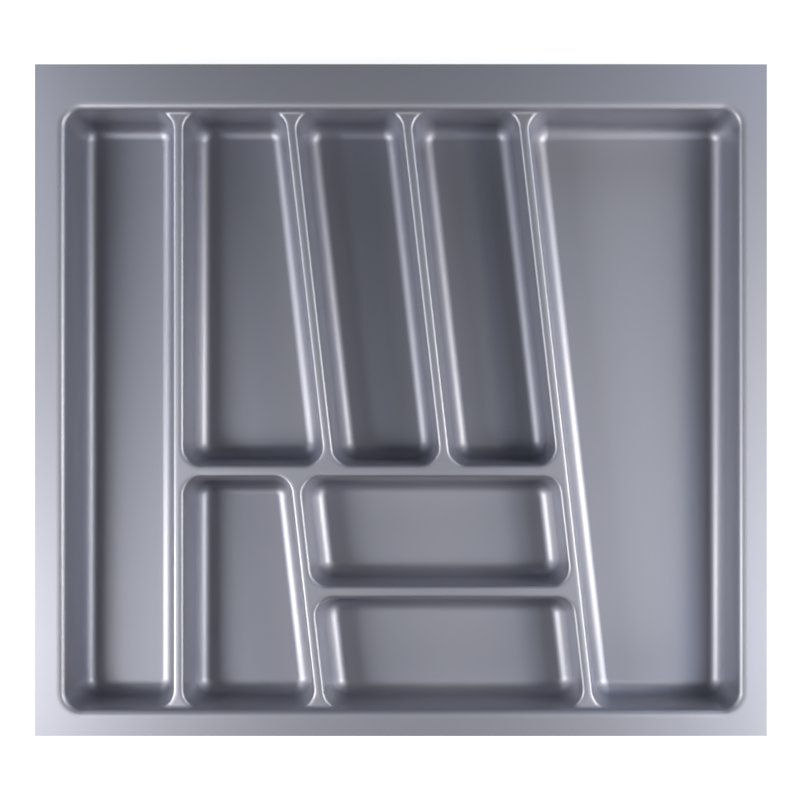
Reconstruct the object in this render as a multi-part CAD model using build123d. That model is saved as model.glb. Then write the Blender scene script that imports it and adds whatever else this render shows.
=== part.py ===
# Drawer cutlery tray, vacuum formed from one sheet of plastic.
# Millimetres. +X is to the right, +Y to the back of the drawer, +Z up.
# The origin is under the middle of the tray, on the plane that the pans rest on.
from build123d import *
import math
import os

# The trimmed sheet
width = 535.0           # left to right, over the flange
depth = 491.0           # front to back, over the flange
height = 50.0           # underside of the pans to the top of the flange
sheet = 1.5             # thickness of the formed sheet

# The flat flange, which is cut back to suit the drawer
flange_left = 21.4
flange_right = 20.1
flange_back = 32.6
flange_front = 18.6

# The mould: every wall leans outward to release the sheet, and one ball-ended cutter
# shapes the upright corners and the bend from wall to floor
draft = math.radians(6.8)
ball_radius = 13.0
rim_radius = 6.0        # flange rolling into the outer walls
divider_radius = 2.6    # divider tops rolling into the pans

# Dividers, measured on the plane of their tops
divider_drop = 6.1      # their tops lie this far under the flange
divider_width = 7.5
cross_width = 8.3       # of the two dividers that run across
slant = math.tan(math.radians(6.45))  # a slanted divider moves right by this for each mm to the front
left_divider = -163.8   # centre line of the straight divider
first_slant = -58.1     # where the first slanted centre line crosses the middle of the tray
slant_pitch = 85.5      # from one slanted divider at the back to the next
front_slant = -84.5     # the short slanted divider at the front
upper_cross = -52.0     # centre lines of the two cross dividers, from the middle
lower_cross = -140.8

divider_top = height - divider_drop
half_width = 0.5 * divider_width
half_cross = 0.5 * cross_width
lean = math.tan(draft)
clear = 2.0             # how far a cutting shape runs past what it cuts
long_slant = first_slant + 2 * slant_pitch

# The outer walls where they meet the flange, before the rim is rounded
wall_left = -0.5 * width + flange_left
wall_right = 0.5 * width - flange_right
wall_front = -0.5 * depth + flange_front
wall_back = 0.5 * depth - flange_back
drawn_in = divider_drop * lean       # how far they have come in at the divider tops


def x_at(line, y):
    """Where a left or right side, given as (x at the middle of the tray, slant), lies at y."""
    return line[0] - line[1] * y


def grown(left, right, front, back, amount):
    """Plan corners of a four-sided pan with each side moved outward, counterclockwise."""
    front -= amount
    back += amount
    left = (left[0] - amount * math.hypot(1.0, left[1]), left[1])
    right = (right[0] + amount * math.hypot(1.0, right[1]), right[1])
    return [(x_at(left, front), front), (x_at(right, front), front),
            (x_at(right, back), back), (x_at(left, back), back)]


def beside(centre, leaning, hand):
    """The side of a divider that faces left (-1) or right (1)."""
    tilt = slant if leaning else 0.0
    return centre + hand * half_width * math.hypot(1.0, tilt), tilt


def pans():
    """The sides of each pan on the plane of the divider tops: left, right, front, back."""
    left_wall = (wall_left + drawn_in, 0.0)
    right_wall = (wall_right - drawn_in, 0.0)
    front = wall_front + drawn_in
    back = wall_back - drawn_in
    above_upper = upper_cross + half_cross
    below_upper = upper_cross - half_cross
    front_divider = beside(front_slant, True, 1)
    long_divider = beside(long_slant, True, -1)

    sides = [(left_wall, beside(left_divider, False, -1), front, back)]
    start = beside(left_divider, False, 1)
    for number in range(3):
        line = first_slant + number * slant_pitch
        sides.append((start, beside(line, True, -1), above_upper, back))
        start = beside(line, True, 1)
    sides.append((start, right_wall, front, back))
    sides.append((beside(left_divider, False, 1), beside(front_slant, True, -1), front, below_upper))
    sides.append((front_divider, long_divider, lower_cross + half_cross, below_upper))
    sides.append((front_divider, long_divider, front, lower_cross - half_cross))
    return sides


def slab(size_x, size_y, bottom, top):
    return Pos(0, 0, 0.5 * (bottom + top)) * Box(size_x, size_y, top - bottom)


def drafted_well(corners, top, bottom):
    """A block whose sides follow the plan corners at the top and draw in on the way down."""
    well = slab(width + depth, width + depth, bottom, top)
    for (x0, y0), (x1, y1) in zip(corners, corners[1:] + corners[:1]):
        run = math.hypot(x1 - x0, y1 - y0)
        out_x, out_y = (y1 - y0) / run, (x0 - x1) / run
        facing = (out_x * math.cos(draft), out_y * math.cos(draft), -math.sin(draft))
        well = split(well, bisect_by=Plane(origin=(x0, y0, top), z_dir=facing), keep=Keep.BOTTOM)
    return well


def ball_cut(sides, level, floor, inset):
    """The room that the cutter leaves between four sides, given at a level, and a floor.

    Its face lies inset under the top face of the sheet."""
    top = height + clear
    outward = (top - level) * lean - ball_radius / math.cos(draft)
    ball_centres = drafted_well(grown(*sides, outward), top, floor + ball_radius)
    return offset(ball_centres, ball_radius + inset)


def mouth_edges(block, level, size_x, size_y):
    """The edges at a level, without those round the outside of the block."""
    found = []
    for edge in block.edges():
        middle = edge.center()
        flat = edge.bounding_box().size.Z < 1e-4 and abs(middle.Z - level) < 1e-4
        if flat and abs(middle.X) < 0.5 * size_x - 1e-3 and abs(middle.Y) < 0.5 * size_y - 1e-3:
            found.append(edge)
    return found


def under_face(inset):
    """All that lies under a face of the sheet: inset 0 is its top face, inset sheet its underside."""
    margin = clear if inset else 0.0
    size_x = width + 2 * margin
    size_y = depth + 2 * margin
    outer_walls = ((wall_left, 0.0), (wall_right, 0.0), wall_front, wall_back)
    basin = ball_cut(outer_walls, height, -2 * ball_radius, inset)
    frame = slab(size_x, size_y, -margin, height - inset) - basin
    frame = fillet(mouth_edges(frame, height - inset, size_x, size_y), rim_radius - inset)

    land_x = width - flange_left
    land_y = depth - flange_front
    land = slab(land_x, land_y, -margin, divider_top - inset)
    for sides in pans():
        land -= ball_cut(sides, divider_top, sheet, inset)
    if not inset:
        land = fillet(mouth_edges(land, divider_top, land_x, land_y), divider_radius)
    return frame + land


formed_tray = under_face(0.0) - under_face(sheet)

os.makedirs("parts", exist_ok=True)
export_step(formed_tray, "parts/formed_tray.step")
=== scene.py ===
from math import atan2, ceil, cos, hypot, pi, radians, sin, tan

import bpy
import numpy as np
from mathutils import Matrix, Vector
from mathutils.geometry import delaunay_2d_cdt


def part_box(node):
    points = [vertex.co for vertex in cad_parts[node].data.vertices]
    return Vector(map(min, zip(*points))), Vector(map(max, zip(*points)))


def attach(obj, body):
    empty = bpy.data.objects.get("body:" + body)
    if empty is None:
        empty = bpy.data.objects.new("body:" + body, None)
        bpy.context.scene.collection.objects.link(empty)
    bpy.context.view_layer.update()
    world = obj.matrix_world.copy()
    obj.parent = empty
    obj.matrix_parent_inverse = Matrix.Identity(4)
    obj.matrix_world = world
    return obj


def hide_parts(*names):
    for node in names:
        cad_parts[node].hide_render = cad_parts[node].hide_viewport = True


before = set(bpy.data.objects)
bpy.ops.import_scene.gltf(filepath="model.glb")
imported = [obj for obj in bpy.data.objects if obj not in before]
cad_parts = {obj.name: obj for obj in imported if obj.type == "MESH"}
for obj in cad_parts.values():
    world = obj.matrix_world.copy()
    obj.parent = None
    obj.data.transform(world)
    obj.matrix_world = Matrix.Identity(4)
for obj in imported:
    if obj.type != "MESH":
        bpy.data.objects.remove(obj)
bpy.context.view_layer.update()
trayLow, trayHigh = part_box("formed_tray")
mm = 0.001
hair = 1e-7                       # metres, too short to matter


# The formed tray. Pans are measured on the plane of the divider tops, and +y is the back.

tray = {
    "sheet": 1.5 * mm,
    "flangeLeft": 21.4 * mm,
    "flangeRight": 20.1 * mm,
    "flangeBack": 32.6 * mm,
    "flangeFront": 18.6 * mm,
    "wallDraft": 6.8,             # degrees
    "ballRadius": 13.0 * mm,      # upright corners
    "floorRadius": 10.0 * mm,     # wall to floor: the bend is tighter beside the floor
    "wallRadius": 15.0 * mm,
    "bendBreak": 45.0,            # degrees, where one gives way to the other
    "rimRadius": 4.8 * mm,
    "rimCrown": 20 * mm,          # the flange dips a little before it rolls over
    "dividerRadius": 2.6 * mm,
    "dividerCrown": 17 * mm,      # divider tops are slightly domed across
    "crownTilt": 7.0,             # degrees, where a crown gives way to the tighter bend
    "rootRadius": 3.0 * mm,       # where a divider top runs into an outer wall
    "rootTurn": 28.0,             # degrees round a pan's corner, over which that bend grows
    "dividerDrop": 6.1 * mm,      # divider tops under the flange
    "dividerWidth": 7.5 * mm,
    "crossWidth": 8.3 * mm,
    "dividerSlant": 6.45,         # degrees
    "leftDivider": -163.8 * mm,
    "slantedDividers": (-58.1 * mm, 27.4 * mm, 112.9 * mm),
    "frontSlanted": -84.5 * mm,
    "upperCross": -52.0 * mm,
    "lowerCross": -140.8 * mm,
}

# How finely the mesh follows the bends
fineness = {
    "cornerSteps": 14,
    "floorSteps": 12,
    "rimSteps": 8,
    "edgeSteps": 6,
    "crownSteps": 3,
    "rootSteps": 5,
    "wallSteps": 4,
    "sideSpacing": 12 * mm,
    "junctionSpacing": 1.0 * mm,  # along the outer walls beside a divider's end
    "junctionReach": 20 * mm,
    "closestStops": 0.45 * mm,    # along a side; of two nearer ones the second is left out
    "leastCorner": 0.4 * mm,      # radius at which a ring's corners stop getting tighter
    "ringGap": 0.3 * mm,          # left between the rings of two bends that meet
}

draft = radians(tray["wallDraft"])
lean = tan(draft)
slant = tan(radians(tray["dividerSlant"]))
crownTilt = radians(tray["crownTilt"])
bendBreak = radians(tray["bendBreak"])
ballRadius = tray["ballRadius"]
floorRadius = tray["floorRadius"]
wallRadius = tray["wallRadius"]
flangeTop = trayHigh.z
floorTop = trayLow.z + tray["sheet"]
dividerTop = flangeTop - tray["dividerDrop"]


def rollStops(radius, crown):
    # Where a crown, its tighter bend and the wall under it start, in from the sharp edge, and the drop
    drop = crown * (1 - cos(crownTilt)) + radius * (cos(crownTilt) - sin(draft))
    foot = drop * lean
    bendStart = foot - radius * (cos(draft) - sin(crownTilt))
    return bendStart - crown * sin(crownTilt), bendStart, foot, drop


# How far in from a pan's sharp edge, at the divider tops, each bend of its wall starts and ends
edgeTop, edgeBend, edgeFoot, edgeDrop = rollStops(tray["dividerRadius"], tray["dividerCrown"])
bendRise = floorRadius * (1 - cos(bendBreak)) + wallRadius * (cos(bendBreak) - sin(draft))
floorBendTop = (dividerTop - floorTop - bendRise) * lean
floorBendMiddle = floorBendTop + wallRadius * (cos(draft) - sin(bendBreak))
floorBendFoot = floorBendMiddle + floorRadius * sin(bendBreak)

# The same for the rim, whose sharp edge is further out by the lean of the wall above the divider tops
rimEdge = -tray["dividerDrop"] * lean
rimTop, rimBend, rimFoot, rimDrop = rollStops(tray["rimRadius"], tray["rimCrown"])
rimTop, rimBend, rimFoot = rimTop + rimEdge, rimBend + rimEdge, rimFoot + rimEdge


def wallHeight(inset):
    return dividerTop - inset / lean


def arcHeight(inset, middle, radius, hand=1):
    return hand * np.sqrt(np.maximum(radius**2 - (inset - middle)**2, 0))


def panHeight(inset):
    # Domed divider top, rounded edge, leaning wall, the two parts of the floor bend, floor
    crown, radius = tray["dividerCrown"], tray["dividerRadius"]
    edgeMiddle = edgeFoot - radius * cos(draft)
    upperMiddle = floorBendTop + wallRadius * cos(draft)
    dome = dividerTop - crown + arcHeight(inset, edgeTop, crown)
    edge = dividerTop - edgeDrop - radius * sin(draft) + arcHeight(inset, edgeMiddle, radius)
    upper = floorTop + bendRise + wallRadius * sin(draft) + arcHeight(inset, upperMiddle, wallRadius, -1)
    lower = floorTop + floorRadius + arcHeight(inset, floorBendFoot, floorRadius, -1)
    ends = [edgeTop, edgeBend, edgeFoot, floorBendTop, floorBendMiddle, floorBendFoot]
    heights = [dividerTop, dome, edge, wallHeight(inset), upper, lower]
    return np.select([inset < end for end in ends], heights, floorTop)


def rimHeight(inset):
    # Flange, its dip, the rolled rim and the leaning outer wall
    crown, radius = tray["rimCrown"], tray["rimRadius"]
    rollMiddle = rimFoot - radius * cos(draft)
    dip = flangeTop - crown + arcHeight(inset, rimTop, crown)
    roll = flangeTop - rimDrop - radius * sin(draft) + arcHeight(inset, rollMiddle, radius)
    ends = [rimTop, rimBend, rimFoot]
    return np.select([inset < end for end in ends], [flangeTop, dip, roll], wallHeight(inset))


def sideLine(x, leaning, hand):
    # A left (hand 1) or right (hand -1) side of a pan: its inward normal and its distance
    tilt = slant if leaning else 0.0
    length = hypot(1.0, tilt)
    return (hand / length, hand * tilt / length, hand * x / length)


def dividerSide(centre, leaning, hand):
    tilt = slant if leaning else 0.0
    return sideLine(centre + hand * 0.5 * tray["dividerWidth"] * hypot(1.0, tilt), leaning, hand)


def trayOutlines():
    # The basin within the outer walls and each pan in it, as their front, right, back and left sides
    halfCross = 0.5 * tray["crossWidth"]
    left = sideLine(trayLow.x + tray["flangeLeft"] - rimEdge, False, 1)
    right = sideLine(trayHigh.x - tray["flangeRight"] + rimEdge, False, -1)
    front = (0.0, 1.0, trayLow.y + tray["flangeFront"] - rimEdge)
    back = (0.0, -1.0, -(trayHigh.y - tray["flangeBack"] + rimEdge))
    aboveUpper = (0.0, 1.0, tray["upperCross"] + halfCross)
    belowUpper = (0.0, -1.0, -(tray["upperCross"] - halfCross))
    aboveLower = (0.0, 1.0, tray["lowerCross"] + halfCross)
    belowLower = (0.0, -1.0, -(tray["lowerCross"] - halfCross))
    pans = {"leftLong": (front, dividerSide(tray["leftDivider"], False, -1), back, left)}
    start = dividerSide(tray["leftDivider"], False, 1)
    for number, centre in enumerate(tray["slantedDividers"]):
        pans[f"back{number}"] = (aboveUpper, dividerSide(centre, True, -1), back, start)
        start = dividerSide(centre, True, 1)
    pans["rightLong"] = (front, right, back, start)
    pans["frontLeft"] = (front, dividerSide(tray["frontSlanted"], True, -1), belowUpper,
                         dividerSide(tray["leftDivider"], False, 1))
    wideRight = dividerSide(tray["slantedDividers"][-1], True, -1)
    wideLeft = dividerSide(tray["frontSlanted"], True, 1)
    pans["middleWide"] = (aboveLower, wideRight, belowUpper, wideLeft)
    pans["frontWide"] = (front, wideRight, belowLower, wideLeft)
    return (front, right, back, left), pans


basinSides, panSides = trayOutlines()


def cornerPoint(first, second, inset):
    # Where two sides meet when both stand this far in
    matrix = np.array([first[:2], second[:2]])
    return np.linalg.solve(matrix, np.array([first[2], second[2]]) + inset)


def insetAt(x, y, sides, edgeStart):
    # How far in from a rounded outline each point lies; corners keep the ball's radius down the wall,
    # and turn tighter round the floor bend and wider round the top edge
    distances = [x * side[0] + y * side[1] - side[2] for side in sides]
    inset = np.minimum.reduce(distances)
    for number, first in enumerate(sides):
        second = sides[(number + 1) % 4]
        a, b = distances[number], distances[(number + 1) % 4]
        facing = first[0] * second[0] + first[1] * second[1]
        # The inset at which a corner of the ball's radius passes through the point
        total = a + b
        rest = a * a + b * b - 2 * facing * a * b - ballRadius**2 * (1 - facing * facing)
        root = np.sqrt(np.maximum(total**2 - 2 * rest / (1 - facing), 0))
        cornerInset = 0.5 * (total + root) - ballRadius
        # Above and below the wall the corners share the centre of the one at its end
        for start, isTop in ((edgeStart, True), (floorBendTop, False)):
            centre = cornerPoint(first, second, start + ballRadius)
            away = np.hypot(x - centre[0], y - centre[1])
            past = (cornerInset < start) if isTop else (cornerInset > start)
            cornerInset = np.where(past, start + ballRadius - away, cornerInset)
        # The corner counts where the point lies outward of its centre, across both sides
        level = np.clip(cornerInset, edgeStart, floorBendTop) + ballRadius
        da, db = a - level, b - level
        inCorner = (da - facing * db < 0) & (db - facing * da < 0) & (cornerInset + ballRadius > 0)
        inset = np.where(inCorner, np.minimum(inset, cornerInset), inset)
    return inset


def junctionWeight(x, y):
    # 0 where a pan's own corner still runs along the outer wall, 1 where the divider top meets it
    weight = np.ones_like(x)
    cornerReach = 3 * ballRadius  # how far along the wall a corner counts
    for sides in panSides.values():
        for number, first in enumerate(sides):
            second = sides[(number + 1) % 4]
            centre = cornerPoint(first, second, edgeFoot + ballRadius)
            for wall, other in ((first, second), (second, first)):
                if wall not in basinSides or other in basinSides:
                    continue
                across = (x - centre[0]) * -wall[0] + (y - centre[1]) * -wall[1]
                along = (x - centre[0]) * wall[1] - (y - centre[1]) * wall[0]
                outward = 1 if other[1] * wall[0] - other[0] * wall[1] > 0 else -1
                angle = np.arctan2(along * outward, across)
                near = (across > 0) & (np.abs(along) < cornerReach)
                turned = np.clip(angle / radians(tray["rootTurn"]), 0, 1)
                weight = np.where(near, np.minimum(weight, turned * turned * (3 - 2 * turned)), weight)
    return weight


def trayHeight(x, y):
    land = np.full_like(x, dividerTop)
    for sides in panSides.values():
        land = np.minimum(land, panHeight(insetAt(x, y, sides, edgeFoot)))
    basin = insetAt(x, y, basinSides, rimFoot)
    wall = rimHeight(basin)
    # A divider top runs into the outer wall with a small hollow bend
    radius = np.maximum(tray["rootRadius"] * junctionWeight(x, y), hair)
    bendFoot = radius / cos(draft) - (land + radius - dividerTop) * lean
    bendTop = bendFoot - radius * cos(draft)
    hollow = land + radius - np.sqrt(np.maximum(radius**2 - (bendFoot - basin)**2, 0))
    inBend = (basin < bendFoot) & (basin > bendTop)
    return np.where(inBend, np.maximum(hollow, wall), np.maximum(wall, land))


def heightAndNormal(x, y):
    step = 0.01 * mm
    height = trayHeight(x, y)
    slopeX = (trayHeight(x + step, y) - trayHeight(x - step, y)) / (2 * step)
    slopeY = (trayHeight(x, y + step) - trayHeight(x, y - step)) / (2 * step)
    normal = np.stack([-slopeX, -slopeY, np.ones_like(x)], 1)
    return height, normal / np.linalg.norm(normal, axis=1)[:, None]


def sideStops(length, breaks):
    # Places along a straight side, closer together near the given breaks
    stops = list(np.linspace(0, length, max(2, ceil(length / fineness["sideSpacing"])) + 1))
    reach, spacing = fineness["junctionReach"], fineness["junctionSpacing"]
    for place in breaks:
        stops += list(place + np.arange(-reach, reach + spacing / 2, spacing))
    kept = [0.0]
    for stop in sorted(stop for stop in stops if 0 < stop < length):
        if stop - kept[-1] > fineness["closestStops"]:
            kept.append(stop)
    if length - kept[-1] < fineness["closestStops"]:
        kept.pop()
    return kept


def ringPoints(sides, inset, radius, breaks=((), (), (), ())):
    # A closed outline: along each side, then round the corner to the next
    points = []
    for number, side in enumerate(sides):
        before, after = sides[number - 1], sides[(number + 1) % 4]
        start = cornerPoint(before, side, inset + radius) - radius * np.array(side[:2])
        cornerCentre = cornerPoint(side, after, inset + radius)
        end = cornerCentre - radius * np.array(side[:2])
        length = float(np.linalg.norm(end - start))
        along = (end - start) / length
        places = [float((place - start) @ along) for place in breaks[number]]
        points += [start + along * stop for stop in sideStops(length, places)]
        firstAngle = atan2(-side[1], -side[0])
        turn = (atan2(-after[1], -after[0]) - firstAngle) % (2 * pi)
        for step in range(fineness["cornerSteps"]):
            angle = firstAngle + turn * step / fineness["cornerSteps"]
            points.append(cornerCentre + radius * np.array((cos(angle), sin(angle))))
    return np.array(points)


def floorStops():
    # Insets round the two parts of the floor bend, evenly by angle
    half = fineness["floorSteps"] // 2
    upper = np.sin(np.linspace(pi / 2 - draft, bendBreak, half + 1))
    lower = np.sin(np.linspace(bendBreak, 0, half + 1))[1:]
    return [*(floorBendTop + wallRadius * (cos(draft) - upper)), *(floorBendFoot - floorRadius * lower)]


def edgeStops(start, bendStart, foot, radius, steps):
    # Insets over a crown and round its tighter bend
    angles = np.linspace(crownTilt, pi / 2 - draft, steps + 1)
    tight = foot - radius * cos(draft) + radius * np.sin(angles)
    return [*np.linspace(start, bendStart, fineness["crownSteps"] + 1)[:-1], *tight]


def cornerRadiusAt(inset, edgeStart):
    if inset < edgeStart:
        return ballRadius + edgeStart - inset
    if inset > floorBendTop:
        return max(ballRadius - (inset - floorBendTop), fineness["leastCorner"])
    return ballRadius


def dividerEnds():
    # Where dividers run into the front, right, back and left outer walls
    front, back = basinSides[0][2], -basinSides[2][2]
    atFront = [np.array((tray["leftDivider"], front))]
    atBack = [np.array((tray["leftDivider"], back))]
    for centre in tray["slantedDividers"]:
        atBack.append(np.array((centre - slant * back, back)))
    for centre in (tray["frontSlanted"], tray["slantedDividers"][-1]):
        atFront.append(np.array((centre - slant * front, front)))
    return atFront, [], atBack, []


class PlanMesh:
    def __init__(self):
        self.points = []
        self.edges = []

    def addRing(self, ring, keep=True):
        # Points that aren't kept leave a gap in the ring
        index = np.full(len(ring), -1)
        for number in np.flatnonzero(np.broadcast_to(keep, len(ring))):
            index[number] = len(self.points)
            self.points.append(ring[number])
        for number in range(len(ring)):
            a, b = index[number], index[(number + 1) % len(ring)]
            if a >= 0 and b >= 0:
                self.edges.append((int(a), int(b)))


def planRings():
    plan = PlanMesh()
    gap = fineness["ringGap"]
    tiny = 0.002 * mm
    # Each pan, from its divider tops to its floor; its rounded edge stops short of the outer wall
    edgeInsets = edgeStops(edgeTop, edgeBend, edgeFoot, tray["dividerRadius"], fineness["edgeSteps"])
    wallInsets = np.linspace(edgeFoot, floorBendTop, fineness["wallSteps"] + 1)[1:-1]
    for sides in panSides.values():
        for inset in [*edgeInsets, *wallInsets, *floorStops()]:
            ring = ringPoints(sides, inset, cornerRadiusAt(inset, edgeFoot))
            basin = insetAt(ring[:, 0], ring[:, 1], basinSides, rimFoot)
            rootTop = tray["rootRadius"] * junctionWeight(ring[:, 0], ring[:, 1])
            plan.addRing(ring, (basin > rootTop + gap) | (inset >= edgeFoot - tiny))
    # The rolled rim, and the outer wall above the divider tops
    rimInsets = edgeStops(rimTop, rimBend, rimFoot, tray["rimRadius"], fineness["rimSteps"])
    upperInsets = np.linspace(rimFoot, edgeFoot, fineness["wallSteps"] + 1)[1:-1]
    breaks = dividerEnds()
    for inset in [*rimInsets, *upperInsets]:
        plan.addRing(ringPoints(basinSides, inset, cornerRadiusAt(inset, rimFoot), breaks))
    # The hollow bend at the dividers' ends, across their tops and most of their rounded edges
    rootWidth = tray["rootRadius"] / cos(draft)
    lowestEdge = dividerTop - 0.9 * tray["dividerRadius"]
    for inset in np.linspace(edgeFoot, rootWidth + gap, fineness["rootSteps"] + 1):
        ring = ringPoints(basinSides, inset, ballRadius, breaks)
        inPans = np.maximum.reduce([insetAt(ring[:, 0], ring[:, 1], sides, edgeFoot)
                                    for sides in panSides.values()])
        plan.addRing(ring, (panHeight(inPans) > lowestEdge) & (inset > edgeFoot + tiny))
    # The flange's outer edge
    corners = [(trayLow.x, trayLow.y), (trayHigh.x, trayLow.y),
               (trayHigh.x, trayHigh.y), (trayLow.x, trayHigh.y)]
    border = []
    for number, corner in enumerate(corners):
        a, b = np.array(corner), np.array(corners[(number + 1) % 4])
        steps = ceil(float(np.linalg.norm(b - a)) / fineness["sideSpacing"])
        border += [a + (b - a) * step / steps for step in range(steps)]
    plan.addRing(np.array(border))
    return plan


def addObject(name, data):
    thing = bpy.data.objects.new(name, data)
    bpy.context.scene.collection.objects.link(thing)
    return thing


def makeTray():
    plan = planRings()
    points = [Vector((float(x), float(y))) for x, y in plan.points]
    flat = delaunay_2d_cdt(points, plan.edges, [], 0, hair)
    xy = np.array([(point.x, point.y) for point in flat[0]])
    triangles = [tuple(face) for face in flat[2] if len(face) == 3]
    height, normal = heightAndNormal(xy[:, 0], xy[:, 1])
    top = np.column_stack([xy, height])
    under = top - tray["sheet"] * normal
    count = len(top)
    # The cut edge joins the two faces of the sheet
    edges = [edge for a, b, c in triangles for edge in ((a, b), (b, c), (c, a))]
    used = set(edges)
    border = [(a, b) for a, b in edges if (b, a) not in used]
    faces = triangles + [tuple(i + count for i in reversed(face)) for face in triangles]
    faces += [(b, a, a + count, b + count) for a, b in border]
    mesh = bpy.data.meshes.new("formedTray")
    mesh.from_pydata(np.vstack([top, under]).tolist(), [], faces)
    cornerNormals = []
    for face in faces:
        if len(face) == 4:
            a, b, c = (Vector(mesh.vertices[i].co) for i in face[:3])
            cornerNormals += [(b - a).cross(c - b).normalized()] * 4
        else:
            cornerNormals += [normal[i] if i < count else -normal[i - count] for i in face]
    for polygon in mesh.polygons:
        polygon.use_smooth = True
    mesh.normals_split_custom_set([tuple(n) for n in cornerNormals])
    print("tray mesh", len(mesh.vertices), "points", len(mesh.polygons), "faces")
    return addObject("formedTray", mesh)


trayPiece = makeTray()
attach(trayPiece, "root")
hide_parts("formed_tray")


# Finish

def toLinear(hexColour):
    channels = [int(hexColour[i:i + 2], 16) / 255 for i in (1, 3, 5)]
    linear = [c / 12.92 if c <= 0.04045 else ((c + 0.055) / 1.055) ** 2.4 for c in channels]
    return (*linear, 1.0)


def newMaterial(name):
    material = bpy.data.materials.new(name)
    material.use_nodes = True
    material.node_tree.nodes.clear()
    return material


def addNode(tree, kind, settings=None, links=None):
    # Links are from an output to a numbered or named input
    node = tree.nodes.new(kind)
    for name, value in (settings or {}).items():
        if name in node.inputs:
            node.inputs[name].default_value = value
        else:
            setattr(node, name, value)
    for name, socket in (links or {}).items():
        tree.links.new(socket, node.inputs[name])
    return node


# Polystyrene with fine metal flake all through it: it gives the eye a broad satin sheen in its own
# blue-grey, like brushed silver paint, with a faint grain and no clear reflections
silverPolystyrene = {
    "colour": "#9D9FAC",
    "metallic": 1.0,
    "roughness": 0.56,
    "coat": 0.35,
    "coatRoughness": 0.25,
    "ior": 1.59,
    "grainSize": 0.9 * mm,        # coarser than the real flake, so that it shows
    "grainDepth": 0.004 * mm,
}


def makeSilverPolystyrene():
    values = silverPolystyrene
    material = newMaterial("silverPolystyrene")
    tree = material.node_tree
    place = addNode(tree, "ShaderNodeTexCoord")
    grain = addNode(tree, "ShaderNodeTexNoise", {"Scale": 1 / values["grainSize"], "Detail": 2.0},
                    {"Vector": place.outputs["Object"]})
    grainBump = addNode(tree, "ShaderNodeBump", {"Distance": values["grainDepth"]},
                        {"Height": grain.outputs["Fac"]})
    shader = addNode(tree, "ShaderNodeBsdfPrincipled", {
        "Base Color": toLinear(values["colour"]),
        "Metallic": values["metallic"],
        "Roughness": values["roughness"],
        "Coat Weight": values["coat"],
        "Coat Roughness": values["coatRoughness"],
        "IOR": values["ior"],
        "Coat IOR": values["ior"],
    }, {"Normal": grainBump.outputs["Normal"]})
    addNode(tree, "ShaderNodeOutputMaterial", None, {"Surface": shader.outputs["BSDF"]})
    return material


trayPiece.data.materials.append(makeSilverPolystyrene())
print("finish made")


# Camera, floor and light

view = {
    "distance": 1.27,             # lens above the flange
    "widthPixels": 732.2,         # the flange across the picture
    "centrePixel": (400.91, 400.13),
    "picture": 800.0,
    "aside": (35 * mm, -15 * mm),  # the lens stands this far right of and before the picture's middle
}


def makeCamera():
    camera = addObject("camera", bpy.data.cameras.new("camera"))
    perPixel = (trayHigh.x - trayLow.x) / view["widthPixels"]
    across = perPixel * view["picture"]
    camera.data.lens = camera.data.sensor_width * view["distance"] / across
    middlePixel = view["picture"] / 2
    middleX = (trayLow.x + trayHigh.x) / 2 - (view["centrePixel"][0] - middlePixel) * perPixel
    middleY = (trayLow.y + trayHigh.y) / 2 + (view["centrePixel"][1] - middlePixel) * perPixel
    asideX, asideY = view["aside"]
    camera.location = (middleX + asideX, middleY + asideY, flangeTop + view["distance"])
    camera.data.shift_x, camera.data.shift_y = -asideX / across, -asideY / across
    bpy.context.scene.camera = camera


# The floor shows white, and keeps a faint shadow beside the tray
paleFloor = {
    "halfSize": 20.0,
    "drop": 0.5 * mm,             # under the tray
    "colour": "#BCBCBC",
    "nearGlow": 0.8,
    "nearReach": 0.45,            # from the middle of the tray
    "farReach": 1.2,
}


def makePaleFloor():
    material = newMaterial("paleFloor")
    tree = material.node_tree
    # White for the lens, and for what mirrors the floor, but plain for the light that it gives off
    path = addNode(tree, "ShaderNodeLightPath")
    lensOrMirror = addNode(tree, "ShaderNodeMath", {"operation": "MAXIMUM"},
                           {0: path.outputs["Is Camera Ray"], 1: path.outputs["Is Glossy Ray"]})
    seen = addNode(tree, "ShaderNodeMath", {"operation": "MAXIMUM"},
                   {0: lensOrMirror.outputs["Value"], 1: path.outputs["Is Transmission Ray"]})
    place = addNode(tree, "ShaderNodeTexCoord")
    away = addNode(tree, "ShaderNodeVectorMath", {"operation": "LENGTH"}, {0: place.outputs["Object"]})
    glow = addNode(tree, "ShaderNodeMapRange", {
        "From Min": paleFloor["nearReach"],
        "From Max": paleFloor["farReach"],
        "To Min": paleFloor["nearGlow"],
        "To Max": 1.0,
    }, {"Value": away.outputs["Value"]})
    strength = addNode(tree, "ShaderNodeMath", {"operation": "MULTIPLY"},
                       {0: glow.outputs["Result"], 1: seen.outputs["Value"]})
    matt = addNode(tree, "ShaderNodeBsdfDiffuse", {"Color": toLinear(paleFloor["colour"])})
    white = addNode(tree, "ShaderNodeEmission", {"Color": (1, 1, 1, 1)},
                    {"Strength": strength.outputs["Value"]})
    both = addNode(tree, "ShaderNodeAddShader", None,
                   {0: matt.outputs["BSDF"], 1: white.outputs["Emission"]})
    addNode(tree, "ShaderNodeOutputMaterial", None, {"Surface": both.outputs["Shader"]})
    return material


def makeFloor():
    half = paleFloor["halfSize"]
    low = trayLow.z - paleFloor["drop"]
    corners = [(-half, -half, low), (half, -half, low), (half, half, low), (-half, half, low)]
    mesh = bpy.data.meshes.new("floor")
    mesh.from_pydata(corners, [], [(0, 1, 2, 3)])
    mesh.materials.append(makePaleFloor())
    floor = addObject("floor", mesh)


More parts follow.
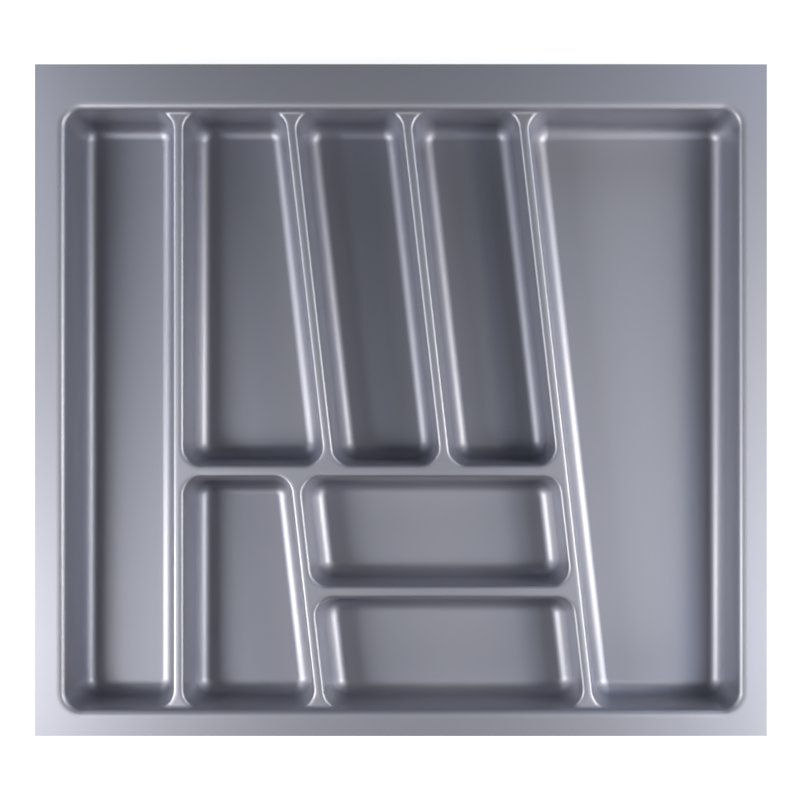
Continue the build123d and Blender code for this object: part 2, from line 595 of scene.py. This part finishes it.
# Small soft lamps stand low at the left and right of the tray and face it, in a dark studio
studio = {
    "lampWidth": 0.25,
    "worldLight": 0.005,
    "cool": "#E2EDFF",
    "plain": "#FAFCFF",
    "warm": "#FFF9E9",
}

# Place is from the middle of the flange
lamps = {
    "leftHigh": {"place": (-0.8, -0.25, 1.05), "power": 1.5, "colour": "plain"},
    "leftMiddle": {"place": (-0.8, -0.25, 0.7), "power": 2.4, "colour": "plain"},
    "leftLow": {"place": (-0.8, -0.25, 0.4), "power": 3.5, "colour": "warm"},
    "leftFront": {"place": (-0.8, -0.5, 1.05), "power": 2.3, "colour": "plain"},
    "leftNear": {"place": (-0.5, -0.25, 0.45), "power": 0.95, "colour": "warm"},
    "leftBack": {"place": (-0.5, 0.25, 0.2), "power": 0.8, "colour": "plain"},
    "rightHigh": {"place": (0.8, 0.0, 1.05), "power": 1.2, "colour": "cool"},
    "rightMiddle": {"place": (0.8, 0.0, 0.7), "power": 3.7, "colour": "warm"},
    "rightLow": {"place": (0.8, 0.0, 0.4), "power": 2.8, "colour": "warm"},
    "rightNear": {"place": (0.5, -0.25, 0.45), "power": 1.4, "colour": "plain"},
    "rightFront": {"place": (0.5, -0.5, 0.2), "power": 1.3, "colour": "warm"},
    "rightBack": {"place": (0.5, 0.5, 0.2), "power": 1.5, "colour": "cool"},
}


def makeLamps():
    target = Vector((0, 0, flangeTop))
    for name, values in lamps.items():
        data = bpy.data.lights.new(name, "AREA")
        data.shape = "DISK"
        data.size = studio["lampWidth"]
        data.energy = values["power"]
        data.color = toLinear(studio[values["colour"]])[:3]
        lamp = addObject(name, data)
        lamp.location = target + Vector(values["place"])
        lamp.rotation_euler = (target - lamp.location).to_track_quat("-Z", "Y").to_euler()
        lamp.visible_camera = False


def makeWorld():
    # Past the floor's edge the lens sees white too
    world = bpy.data.worlds.new("world")
    bpy.context.scene.world = world
    world.use_nodes = True
    tree = world.node_tree
    path = addNode(tree, "ShaderNodeLightPath")
    strength = addNode(tree, "ShaderNodeMapRange", {"To Min": studio["worldLight"], "To Max": 1.0},
                       {"Value": path.outputs["Is Camera Ray"]})
    background = tree.nodes["Background"]
    background.inputs["Color"].default_value = (1, 1, 1, 1)
    tree.links.new(strength.outputs["Result"], background.inputs["Strength"])


makeCamera()
makeFloor()
makeLamps()
makeWorld()
bpy.context.scene.view_settings.view_transform = "Standard"
print("stage set")
